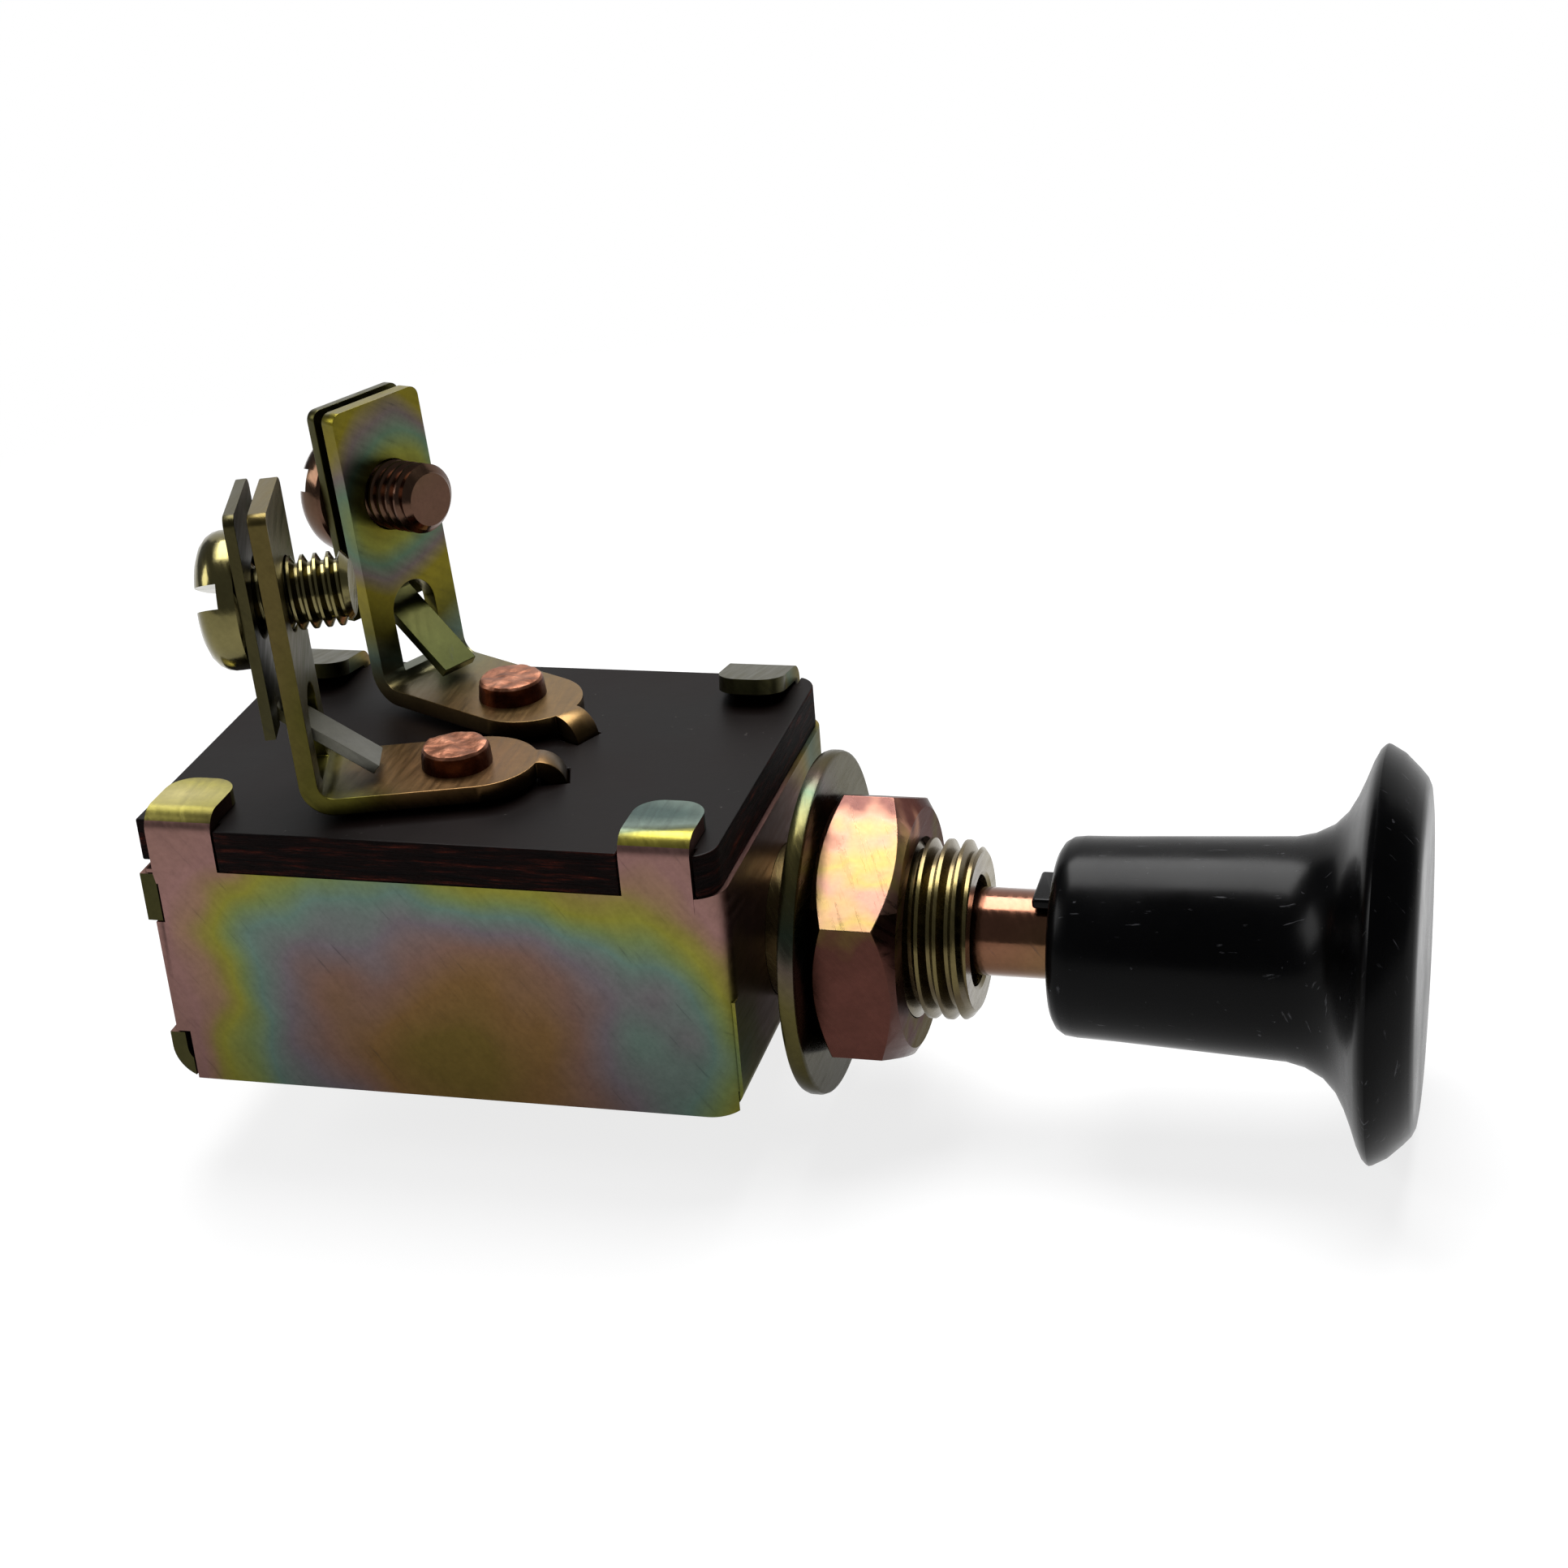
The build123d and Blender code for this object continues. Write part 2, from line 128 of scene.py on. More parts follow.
table_height = -11.3 * mm
table_width = 3.0
backdrop_height = 1.5
curve_width = 0.6
bpy.ops.object.select_all(action="DESELECT")
bpy.ops.mesh.primitive_plane_add(size=table_width, location=(0, 0, table_height))
table = bpy.context.object
table.name = "table"
bpy.ops.object.transform_apply(location=True)
bpy.ops.object.mode_set(mode="EDIT")
bpy.ops.mesh.select_all(action="DESELECT")
bpy.ops.object.mode_set(mode="OBJECT")
for edge in table.data.edges:
    edge.select = all(table.data.vertices[end].co.y > table_width / 3 for end in edge.vertices)
bpy.ops.object.mode_set(mode="EDIT")
bpy.ops.mesh.select_mode(type="EDGE")
bpy.ops.mesh.extrude_region_move(TRANSFORM_OT_translate={"value": (0, 0, backdrop_height)})
bpy.ops.object.mode_set(mode="OBJECT")
sweep = table.modifiers.new("sweep", "BEVEL")
sweep.width = curve_width
sweep.segments = 12
bpy.ops.object.modifier_apply(modifier=sweep.name)
bpy.ops.object.shade_smooth()
# The sheet is plain white to the eye and in reflections, but keeps some of its shading close to the
# switch, where the shadow falls
shadow_reach = (50 * mm, 150 * mm)
white_in_shadow = 0.8
table_white, tree, shader = new_finish("white table")
shader.inputs["Base Color"].default_value = (0.9, 0.9, 0.9, 1)
shader.inputs["Roughness"].default_value = 0.9
shader.inputs["Specular IOR Level"].default_value = 0.0
path = add(tree, "LightPath")
seen = path.outputs["Is Camera Ray"]
for ray in ("Is Glossy Ray", "Is Transmission Ray"):
    seen = add(tree, "Math", {0: seen, 1: path.outputs[ray]}, operation="MAXIMUM").outputs[0]
place = add(tree, "TexCoord").outputs["Object"]
distance = add(tree, "VectorMath", {0: place}, operation="LENGTH").outputs["Value"]
plain = rescale(tree, distance, shadow_reach, (white_in_shadow, 1.0))
white = add(tree, "Emission", {"Color": (1, 1, 1, 1), "Strength": 1.0})
mix = add(tree, "MixShader", {0: multiply(tree, seen, plain), 1: shader.outputs[0], 2: white.outputs[0]})
tree.links.new(mix.outputs[0], tree.nodes["Material Output"].inputs["Surface"])
table.data.materials.append(table_white)

# Soft studio light: a large panel over the switch and a little behind it, a weaker one from the
# left, and a pale room around them.
world = bpy.data.worlds.new("room")
bpy.context.scene.world = world
world.use_nodes = True
world.node_tree.nodes["Background"].inputs["Color"].default_value = (0.92, 0.95, 1.0, 1)
world.node_tree.nodes["Background"].inputs["Strength"].default_value = 0.18


def light_panel(name, place, size, power):
    """A square soft light that faces the switch. Place and size in millimetres, power in watts."""
    data = bpy.data.lights.new(name, "AREA")
    data.size = size * mm
    data.energy = power
    lamp = bpy.data.objects.new(name, data)
    bpy.context.scene.collection.objects.link(lamp)
    lamp.location = Vector(place) * mm
    lamp.rotation_euler = (-Vector(place)).to_track_quat("-Z", "Y").to_euler()


light_panel("overhead panel", place=(-20, 110, 300), size=240, power=2.2)
light_panel("left panel", place=(-300, -120, 190), size=160, power=0.5)


# The case is one sheet of mild steel, blanked, folded into a box with tabs, and yellow zinc
# plated. The chromate film shows pink, olive and teal where its thickness changes.
def tone(red, green, blue):
    """A colour given on the usual 0 to 255 scale, as the shader wants it."""
    return tuple((channel / 255) ** 2.2 for channel in (red, green, blue)) + (1,)


def blend_tones(tree, factor, stops):
    """A colour ramp through the given (position, colour) stops."""
    ramp = add(tree, "ValToRGB", {"Fac": factor})
    elements = ramp.color_ramp.elements
    elements[0].position, elements[0].color = stops[0]
    elements[1].position, elements[1].color = stops[-1]
    for position, colour in stops[1:-1]:
        elements.new(position).color = colour
    return ramp.outputs["Color"]


def mix_tones(tree, factor, first, second, blend="MIX"):
    """Two colours mixed by a factor."""
    sockets = {"Factor": factor, 6: first, 7: second}
    return add(tree, "Mix", sockets, data_type="RGBA", blend_type=blend).outputs[2]


def noise(tree, place, scale, detail=2, roughness=0.5):
    """A cloudy value that is mostly between 0.3 and 0.7."""
    sockets = {"Vector": place, "Scale": scale, "Detail": detail, "Roughness": roughness}
    return add(tree, "TexNoise", sockets).outputs["Fac"]


def bump(tree, height, strength, depth, sunk=False, over=None):
    """Raised or sunk marks up to a depth in millimetres, if need be over others."""
    sockets = {"Height": height, "Strength": strength, "Distance": depth * mm}
    if over is not None:
        sockets["Normal"] = over
    return add(tree, "Bump", sockets, invert=sunk).outputs[0]


def plated_finish(
    name, film, centre, reach, drift, roughness, seed=0.0, darkened=(0, 1, 1), patch=9.5, graze=1.0
):
    """Plated metal: a film whose colour changes with the distance from a centre, scratches and grain.

    The film comes to its last colour at the given reach along each axis, and wanders in patches of the
    given size. Between the two given heights it is painted darker downwards to the given share, as painted
    shade. Graze is the share of light that it returns at a flat angle. Sizes and heights in millimetres.
    """
    material, tree, shader = new_finish(name)
    place = add(tree, "TexCoord").outputs["Object"]
    offset = add(tree, "VectorMath", {0: place, 1: Vector(centre) * mm}, operation="SUBTRACT").outputs[0]
    scale = [1 / (size * mm) for size in reach]
    shares = add(tree, "VectorMath", {0: offset, 1: scale}, operation="MULTIPLY").outputs[0]
    distance = add(tree, "VectorMath", {0: shares}, operation="LENGTH").outputs["Value"]
    shifted = add(tree, "Mapping", {"Vector": place, "Location": (seed, seed, seed)}).outputs[0]
    clouds = noise(tree, shifted, scale=1 / (patch * mm), detail=2, roughness=0.4)
    cloud = rescale(tree, clouds, (0.3, 0.7), (-drift, drift))
    thickness = add(tree, "Math", {0: distance, 1: cloud}, operation="ADD").outputs[0]
    colour = blend_tones(tree, thickness, film)
    # Painted shade: the colour darkens downwards between the two given heights. Real stains are laid over it
    low, high, share = darkened
    height = add(tree, "SeparateXYZ", {"Vector": place}).outputs["Z"]
    painted_shade_and_stains = rescale(tree, height, (low * mm, high * mm), (share, 1.0))
    stains = noise(tree, shifted, scale=900, detail=5, roughness=0.7)
    painted_shade_and_stains = multiply(tree, painted_shade_and_stains, rescale(tree, stains, (0.35, 0.65), (0.91, 1.04)))
    # Handling marks: long thin scratches across the piece and a dusting of darker specks
    slant = {"Vector": shifted, "Rotation": (0.3, 0.9, 0.4), "Scale": (1, 1, 0.07)}
    strokes = add(tree, "Mapping", slant, vector_type="TEXTURE").outputs[0]
    marks = noise(tree, strokes, scale=300, detail=3, roughness=0.6)
    scratch = rescale(tree, marks, (0.66, 0.82), (0.0, 0.5))
    specks = noise(tree, shifted, scale=3800)
    shade = multiply(tree, rescale(tree, specks, (0.3, 0.6), (0.92, 1.0)), painted_shade_and_stains)
    worn = mix_tones(tree, scratch, colour, tone(52, 54, 56))
    tree.links.new(mix_tones(tree, 1.0, worn, shade, "MULTIPLY"), shader.inputs["Base Color"])
    shine = rescale(tree, marks, (0.3, 0.8), (roughness, roughness + 0.16))
    tree.links.new(shine, shader.inputs["Roughness"])
    shader.inputs["Metallic"].default_value = 1.0
    shader.inputs["Specular Tint"].default_value = (graze, graze, graze, 1)
    grain = bump(tree, specks, strength=0.05, depth=0.05)
    scored = bump(tree, scratch, strength=0.15, depth=0.03, sunk=True, over=grain)
    tree.links.new(scored, shader.inputs["Normal"])
    return material


def merge_slivers():
    """Close up the needle faces that a bevel or a cut leaves on the active piece."""
    bpy.ops.object.mode_set(mode="EDIT")
    bpy.ops.mesh.select_mode(type="VERT")
    bpy.ops.mesh.select_all(action="SELECT")
    bpy.ops.mesh.remove_doubles(threshold=0.003 * mm)
    bpy.ops.mesh.select_all(action="DESELECT")
    bpy.ops.object.mode_set(mode="OBJECT")
    # A point where only two edges meet splits a needle off its faces when they are triangulated
    mesh = bpy.context.object.data
    meeting = [0] * len(mesh.vertices)
    for edge in mesh.edges:
        for end in edge.vertices:
            meeting[end] += 1
    for vertex in mesh.vertices:
        vertex.select = meeting[vertex.index] == 2
    bpy.ops.object.mode_set(mode="EDIT")
    bpy.ops.mesh.dissolve_verts()
    bpy.ops.object.mode_set(mode="OBJECT")


def eased_copy(node, width, finish):
    """A copy of a CAD node in its place, with its sharp edges eased by a width in millimetres."""
    original = frame["nodes"][node]
    piece = bpy.data.objects.new(node + "_piece", original.data.copy())
    bpy.context.scene.collection.objects.link(piece)
    bpy.ops.object.select_all(action="DESELECT")
    piece.select_set(True)
    bpy.context.view_layer.objects.active = piece
    bpy.ops.mesh.customdata_custom_splitnormals_clear()
    bpy.ops.object.mode_set(mode="EDIT")
    bpy.ops.mesh.select_all(action="SELECT")
    bpy.ops.mesh.remove_doubles(threshold=0.002 * mm)
    bpy.ops.mesh.dissolve_limited(angle_limit=radians(1))
    bpy.ops.object.mode_set(mode="OBJECT")
    eased = piece.modifiers.new("eased edges", "BEVEL")
    eased.width = width * mm
    eased.segments = 2
    eased.angle_limit = radians(35)
    bpy.ops.object.modifier_apply(modifier=eased.name)
    merge_slivers()
    bpy.ops.object.shade_smooth_by_angle(angle=radians(32))
    flat_faces = piece.modifiers.new("flat faces", "WEIGHTED_NORMAL")
    flat_faces.keep_sharp = True
    bpy.ops.object.modifier_apply(modifier=flat_faces.name)
    piece.data.materials.clear()
    piece.data.materials.append(finish)
    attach(piece, original["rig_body"])
    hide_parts(node)
    return piece


zinc_film = [
    (0.0, tone(98, 82, 44)),
    (0.13, tone(110, 84, 54)),
    (0.22, tone(110, 86, 76)),
    (0.3, tone(100, 92, 96)),
    (0.375, tone(90, 110, 100)),
    (0.43, tone(102, 114, 72)),
    (0.475, tone(120, 118, 52)),
    (0.505, tone(120, 110, 58)),
    (0.54, tone(126, 100, 80)),
    (0.58, tone(128, 97, 92)),
    (0.72, tone(126, 97, 88)),
    (0.78, tone(124, 110, 66)),
    (0.84, tone(94, 106, 90)),
    (0.92, tone(112, 100, 58)),
    (1.0, tone(120, 92, 84)),
]
# The case is painted darker towards its bottom, as painted shade
case_finish = plated_finish(
    "yellow zinc case",
    zinc_film,
    centre=(-15, -11.5, -2.7),
    reach=(30.5, 40, 25),
    drift=0.1,
    roughness=0.3,
    darkened=(-6, 4, 0.58),
    graze=0.5,
)
case_piece = eased_copy("case", 0.1, case_finish)
# The tabs took the plating differently, gold at the near rear and teal at the near front. The far
# tabs and the back wall with its ears are dull
gold_film = [(0.0, tone(170, 160, 104)), (0.5, tone(150, 142, 74)), (1.0, tone(96, 88, 52))]
teal_film = [
    (0.0, tone(58, 72, 68)),
    (0.35, tone(90, 102, 94)),
    (0.55, tone(70, 76, 56)),
    (0.7, tone(140, 132, 58)),
    (1.0, tone(120, 112, 54)),
]
dull_film = [(0.0, tone(52, 52, 36)), (0.5, tone(66, 64, 46)), (1.0, tone(58, 56, 34))]
gold_finish = plated_finish(
    "gold tab", gold_film, (-31, -9, 10.7), (8, 3, 5), drift=0.3, roughness=0.28, seed=0.07
)
teal_finish = plated_finish(
    "teal tab", teal_film, (-3.5, -8.6, 10.7), (9, 3.4, 5), drift=0.35, roughness=0.3, seed=0.83
)
dull_finish = plated_finish(
    "dull tab", dull_film, (-16, 9, 10.7), (18, 6, 5), drift=0.3, roughness=0.32, seed=0.29
)
for tab_finish in (gold_finish, teal_finish, dull_finish):
    case_piece.data.materials.append(tab_finish)
gold, teal, darkened = 1, 2, 3
back_face = -33.1
outer_face = 11.5
middle = -16
tab_low = 10.2
ear_split = -32.25
ear_limit = -31.9
lower_ear_high = -2.9
upper_ear_low = 4.05
upper_ear_high = 7.05
least_wall_area = 100
# The sides of the upper ears run on into the walls' outer faces, which are split there first
bpy.ops.object.mode_set(mode="EDIT")
bpy.ops.mesh.select_mode(type="FACE")
bpy.ops.mesh.select_all(action="DESELECT")
bpy.ops.object.mode_set(mode="OBJECT")
for face in case_piece.data.polygons:
    outside = abs(face.center.y / mm) > outer_face - 0.1
    face.select = outside and face.area > least_wall_area * mm**2
bpy.ops.object.mode_set(mode="EDIT")
bpy.ops.mesh.bisect(plane_co=(ear_split * mm, 0, 0), plane_no=(1, 0, 0))
bpy.ops.object.mode_set(mode="OBJECT")
for face in case_piece.data.polygons:
    x, y, z = face.center / mm
    outside = abs(y) > outer_face - 0.1
    at_ear = x < ear_limit and (z < lower_ear_high or upper_ear_low < z < upper_ear_high)
    if z > tab_low:
        face.material_index = darkened if y > 0 else gold if x < middle else teal
    elif x < back_face + 0.2 or (outside and at_ear):
        face.material_index = darkened


# The bushing is turned brass, plated, with a fine thread cut along it. Its neck goes through the
# front wall and is staked over inside the case.
def single_point(name, x, z):
    """A new piece that is one point above the shaft's axis, left in edit mode. Millimetres."""
    bpy.ops.object.select_all(action="DESELECT")
    bpy.ops.mesh.primitive_plane_add(size=mm)
    piece = bpy.context.object
    piece.name = name
    bpy.ops.object.mode_set(mode="EDIT")
    bpy.ops.mesh.select_mode(type="VERT")
    bpy.ops.mesh.select_all(action="SELECT")
    bpy.ops.mesh.merge(type="CENTER")
    bpy.ops.transform.translate(value=(x * mm, 0, z * mm))
    return piece


def bar_from_profile(name, profile, steps=96):
    """A turned piece on the shaft's axis from (place along it, radius) points in millimetres."""
    piece = single_point(name, *profile[0])
    for (x, radius), (next_x, next_radius) in zip(profile, profile[1:]):
        step = ((next_x - x) * mm, 0, (next_radius - radius) * mm)
        bpy.ops.mesh.extrude_vertices_move(TRANSFORM_OT_translate={"value": step})
    bpy.ops.mesh.select_all(action="SELECT")
    bpy.ops.mesh.spin(steps=steps, angle=2 * pi, center=(0, 0, 0), axis=(1, 0, 0))
    bpy.ops.mesh.select_all(action="SELECT")
    bpy.ops.mesh.remove_doubles(threshold=0.001 * mm)
    bpy.ops.mesh.normals_make_consistent(inside=False)
    bpy.ops.object.mode_set(mode="OBJECT")
    bpy.ops.object.shade_smooth_by_angle(angle=radians(32))
    return piece


def threaded_bar(name, radius, pitch, start, end):
    """A bar on the shaft's axis with a right-hand thread, cut square at both ends. Millimetres."""
    root = radius - 0.6 * pitch
    tooth = [(0, root), (0.2, root), (0.48, radius), (0.68, radius), (1, root)]
    bar = single_point(name, start - pitch, root)
    for (x, height), (next_x, next_height) in zip(tooth, tooth[1:]):
        step = ((next_x - x) * pitch * mm, 0, (next_height - height) * mm)
        bpy.ops.mesh.extrude_vertices_move(TRANSFORM_OT_translate={"value": step})
    bpy.ops.object.mode_set(mode="OBJECT")
    turns = bar.modifiers.new("thread", "SCREW")
    turns.axis = "X"
    turns.screw_offset = pitch * mm
    turns.iterations = int((end - start) / pitch) + 4
    turns.steps = 64
    turns.render_steps = 64
    turns.use_merge_vertices = True
    turns.merge_threshold = 0.001 * mm
    bpy.ops.object.modifier_apply(modifier=turns.name)
    bpy.ops.object.mode_set(mode="EDIT")
    bpy.ops.mesh.select_all(action="SELECT")
    bpy.ops.mesh.remove_doubles(threshold=0.002 * mm)
    for cut, keep_outer in ((start, True), (end, False)):
        bpy.ops.mesh.select_all(action="SELECT")
        bpy.ops.mesh.bisect(
            plane_co=(cut * mm, 0, 0),
            plane_no=(1, 0, 0),
            use_fill=True,
            clear_inner=keep_outer,
            clear_outer=not keep_outer,
        )
    bpy.ops.mesh.select_all(action="SELECT")
    bpy.ops.mesh.remove_doubles(threshold=0.001 * mm)
    bpy.ops.mesh.normals_make_consistent(inside=False)
    bpy.ops.object.mode_set(mode="OBJECT")
    return bar


def shape_with(piece, tool, operation):
    """Cut a piece with another one or join them, by a boolean operation that uses the other one up."""
    bpy.ops.object.select_all(action="DESELECT")
    bpy.context.view_layer.objects.active = piece
    piece.select_set(True)
    cut = piece.modifiers.new("cut", "BOOLEAN")
    cut.operation = operation
    cut.solver = "EXACT"
    cut.object = tool
    bpy.ops.object.modifier_apply(modifier=cut.name)
    bpy.data.objects.remove(tool)
    merge_slivers()


bushing_back = -1.7
bushing_front = 11.2
bore = 2.5
neck = 4.3
# The thread is cut past both ends of the turned bar, which then gives the bushing its ends and neck
bushing = threaded_bar("bushing_piece", 5.0, 1.0, bushing_back - 0.5, bushing_front + 0.5)
bushing_bar = bar_from_profile(
    "bushing_bar",
    [(bushing_back, bore), (bushing_back, 4.7), (-0.9, 4.7), (-0.9, neck), (2.05, neck), (2.05, 5.2),
     (10.5, 5.05), (10.9, 4.8), (bushing_front, 4.4), (bushing_front, 3.3), (11.05, 3.1), (10.0, 3.0),
     (10.0, bore), (bushing_back, bore)],
)
shape_with(bushing, bushing_bar, "INTERSECT")
bpy.ops.object.shade_smooth_by_angle(angle=radians(28))
brass_film = [
    (0.0, tone(98, 90, 56)),
    (0.35, tone(112, 102, 66)),
    (0.6, tone(96, 84, 62)),
    (1.0, tone(118, 106, 72)),
]
# The bushing is painted darker towards its lower side, as painted shade
bushing_finish = plated_finish(
    "plated bushing",
    brass_film,
    centre=(8, -5, 4),
    reach=(9, 8, 8),
    drift=0.25,
    roughness=0.2,
    seed=0.13,
    darkened=(-5, 3, 0.5),
)
bushing.data.materials.clear()
bushing.data.materials.append(bushing_finish)
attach(bushing, "base")
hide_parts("bushing")

# The washer and the nut hold the switch in a panel. The washer is a stamped steel ring and the nut
# is cut from hexagon bar, both yellow zinc plated.
washer_film = [
    (0.0, tone(86, 80, 50)),
    (0.4, tone(64, 74, 60)),
    (0.7, tone(84, 74, 66)),
    (1.0, tone(82, 76, 46)),
]
# The washer is painted darker towards its lower side, as painted shade
washer_finish = plated_finish(
    "plated washer",
    washer_film,
    centre=(2.5, -6, 7),
    reach=(6, 9, 10),
    drift=0.3,
    roughness=0.18,
    seed=0.41,
    darkened=(-10, 4, 0.4),
    graze=0.6,
)
eased_copy("mounting_washer", 0.28, washer_finish)
# The nut's upper flats are painted lighter and its lower ones darker, as painted light and shade over the
# film's own colours. Below its middle it is also painted darker downwards
nut_film_and_painted_light = [
    (0.0, tone(178, 134, 116)),
    (0.16, tone(176, 150, 92)),
    (0.32, tone(182, 134, 112)),
    (0.44, tone(112, 78, 72)),
    (0.62, tone(100, 70, 66)),
    (0.78, tone(104, 88, 56)),
    (0.9, tone(98, 66, 64)),
    (1.0, tone(108, 94, 58)),
]
nut_finish = plated_finish(
    "plated nut",
    nut_film_and_painted_light,
    centre=(5.4, -6, 5),
    reach=(30, 16, 12),
    drift=0.13,
    roughness=0.24,
    seed=0.77,
    darkened=(-7, 0, 0.8),
    patch=2.2,
    graze=0.4,
)
nut = eased_copy("mounting_nut", 0.22, nut_finish)
# The flats that don't face upwards get a darker colour, as painted shade
nut_shade_film = [
    (0.0, tone(82, 52, 46)),
    (0.5, tone(74, 48, 42)),
    (0.8, tone(84, 68, 42)),
    (1.0, tone(78, 50, 46)),
]
nut_shade_finish = plated_finish(
    "nut painted shade", nut_shade_film, (5.4, -6, -2), (9, 9, 9), drift=0.25, roughness=0.24, seed=0.35, patch=2.2
)
nut.data.materials.append(nut_shade_finish)
for face in nut.data.polygons:
    face.material_index = 1 if face.normal.z < 0.3 and abs(face.normal.x) < 0.9 else 0

# The terminal board is punched from laminated paper board, smooth and charcoal on its faces and
# torn brown along the cut edges, where the layers show.
laminate, tree, shader = new_finish("board face")
place = add(tree, "TexCoord").outputs["Object"]
smudge = noise(tree, place, scale=110, detail=3)
face_tone = blend_tones(tree, smudge, [(0.3, tone(12, 8, 7)), (0.7, tone(20, 14, 13))])
dust = noise(tree, place, scale=1500, detail=6, roughness=0.65)
fleck = rescale(tree, dust, (0.68, 0.76), (0.0, 0.22))
tree.links.new(mix_tones(tree, fleck, face_tone, tone(150, 146, 140)), shader.inputs["Base Color"])
tree.links.new(rescale(tree, smudge, (0.3, 0.7), (0.36, 0.5)), shader.inputs["Roughness"])
shader.inputs["Specular IOR Level"].default_value = 0.06
tree.links.new(bump(tree, dust, strength=0.05, depth=0.1), shader.inputs["Normal"])
board = eased_copy("terminal_board", 0.12, laminate)
cut_edge, tree, shader = new_finish("board cut edge")
place = add(tree, "TexCoord").outputs["Object"]
layers = add(tree, "Mapping", {"Vector": place, "Scale": (260, 260, 2600)}).outputs[0]
fibres = noise(tree, layers, scale=1.0, detail=5, roughness=0.7)
edge_film = [
    (0.35, tone(8, 4, 3)),
    (0.52, tone(20, 8, 5)),
    (0.62, tone(46, 18, 11)),
    (0.75, tone(92, 46, 32)),
]
tree.links.new(blend_tones(tree, fibres, edge_film), shader.inputs["Base Color"])
shader.inputs["Roughness"].default_value = 0.75
shader.inputs["Specular IOR Level"].default_value = 0.06
tree.links.new(bump(tree, fibres, strength=0.9, depth=0.25), shader.inputs["Normal"])
board.data.materials.append(cut_edge)
for face in board.data.polygons:
    face.material_index = 1 if abs(face.normal.z) < 0.6 else 0

# Each terminal is a strap of plated brass, stamped and bent. Its prong goes into a slot in the
# board, and a copper contact rivet clamps its foot.
near_film = [
    (0.0, tone(104, 78, 52)),
    (0.25, tone(96, 74, 48)),
    (0.42, tone(68, 58, 28)),
    (0.55, tone(82, 78, 34)),
    (0.75, tone(72, 68, 34)),
    (1.0, tone(86, 76, 46)),
]
far_film = [
    (0.0, tone(64, 48, 16)),
    (0.12, tone(104, 94, 30)),
    (0.2, tone(108, 110, 52)),
    (0.27, tone(84, 104, 84)),
    (0.33, tone(98, 88, 84)),
    (0.4, tone(112, 102, 36)),
    (0.5, tone(106, 98, 36)),
    (0.6, tone(84, 80, 34)),
    (0.72, tone(82, 96, 84)),
    (0.85, tone(98, 90, 62)),
    (1.0, tone(106, 84, 54)),
]
# The straps are painted darker towards the board at their feet, as painted shade
foot_shade = (10.2, 11.1, 0.3)
near_finish = plated_finish(
    "near strap plate",
    near_film,
    centre=(-16, -4.5, 11),
    reach=(14, 14, 14),
    drift=0.18,
    roughness=0.3,
    seed=0.23,
    darkened=foot_shade,
)
far_finish = plated_finish(
    "far strap plate",
    far_film,
    centre=(-23.5, 8, 22),
    reach=(14, 14, 14),
    drift=0.1,
    roughness=0.28,
    seed=0.59,
    darkened=foot_shade,
)
eased_copy("near_terminal", 0.1, near_finish)
eased_copy("far_terminal", 0.1, far_finish)

# The contact rivets are cold headed copper, their tops dented by the hammer. The tops are coloured lighter
# than
# the sides: partly bright struck copper, partly a painted highlight on the tops and painted shade on the
# sides.
copper_films = {
    "struck_and_lit": [(0.3, tone(86, 54, 40)), (0.55, tone(122, 82, 64)), (0.8, tone(160, 114, 92))],
    "dark": [(0.3, tone(44, 20, 9)), (0.7, tone(78, 40, 22))],
}
coppers = {}
for state, film in copper_films.items():
    coppers[state], tree, shader = new_finish(state + " copper")
    place = add(tree, "TexCoord").outputs["Object"]
    dents = noise(tree, place, scale=900, detail=4)
    tree.links.new(blend_tones(tree, dents, film), shader.inputs["Base Color"])
    shader.inputs["Metallic"].default_value = 1.0
    shader.inputs["Roughness"].default_value = 0.48
    tree.links.new(bump(tree, dents, strength=0.7, depth=0.18), shader.inputs["Normal"])
head_radius = 1.95
shank_radius = 1.4
button_radius = 2.3
collar_radius = 2.2
strap_thickness = 1.0
collar_height = 0.35
for side in ("near", "far"):
    low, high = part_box(side + "_rivet")
    foot = low.z / mm
    head = high.z / mm - 1.25
    collar_top = head - strap_thickness
    rivet = bar_from_profile(
        side + "_rivet_piece",
        [(foot, 0), (foot, button_radius - 0.25), (foot + 0.25, button_radius), (foot + 0.9, button_radius),
         (foot + 0.9, shank_radius), (collar_top - collar_height, shank_radius),
         (collar_top - collar_height, collar_radius), (collar_top, collar_radius), (collar_top, shank_radius),
         (head, shank_radius), (head, head_radius), (head + 0.7, head_radius),
         (head + 1.0, head_radius - 0.06), (head + 1.18, head_radius - 0.2)]
        + [(head + 1.22, head_radius * share) for share in (0.82, 0.7, 0.58, 0.46, 0.34, 0.22, 0.1)]
        + [(head + 1.22, 0)],
    )
    rivet.rotation_euler = (0, -pi / 2, 0)
    rivet.location = ((low.x + high.x) / 2, (low.y + high.y) / 2, 0)
    bpy.ops.object.transform_apply()
    hammer = bpy.data.textures.new(side + " hammer", "CLOUDS")
    hammer.noise_scale = 0.9 * mm
    top = rivet.vertex_groups.new(name="struck head")
    top.add([v.index for v in rivet.data.vertices if v.co.z > (head + 0.1) * mm], 1.0, "REPLACE")
    blows = rivet.modifiers.new("blows", "DISPLACE")
    blows.texture = hammer
    blows.vertex_group = top.name
    blows.strength = 0.22 * mm
    blows.mid_level = 0.85
    bpy.ops.object.modifier_apply(modifier=blows.name)
    rivet.data.materials.clear()
    rivet.data.materials.append(coppers["dark"])
    rivet.data.materials.append(coppers["struck_and_lit"])
    # The top faces get the lighter copper, partly a painted highlight
    for face in rivet.data.polygons:
        face.material_index = 1 if face.center.z > (head + 1.0) * mm else 0
    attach(rivet, "base")
    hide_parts(side + "_rivet")

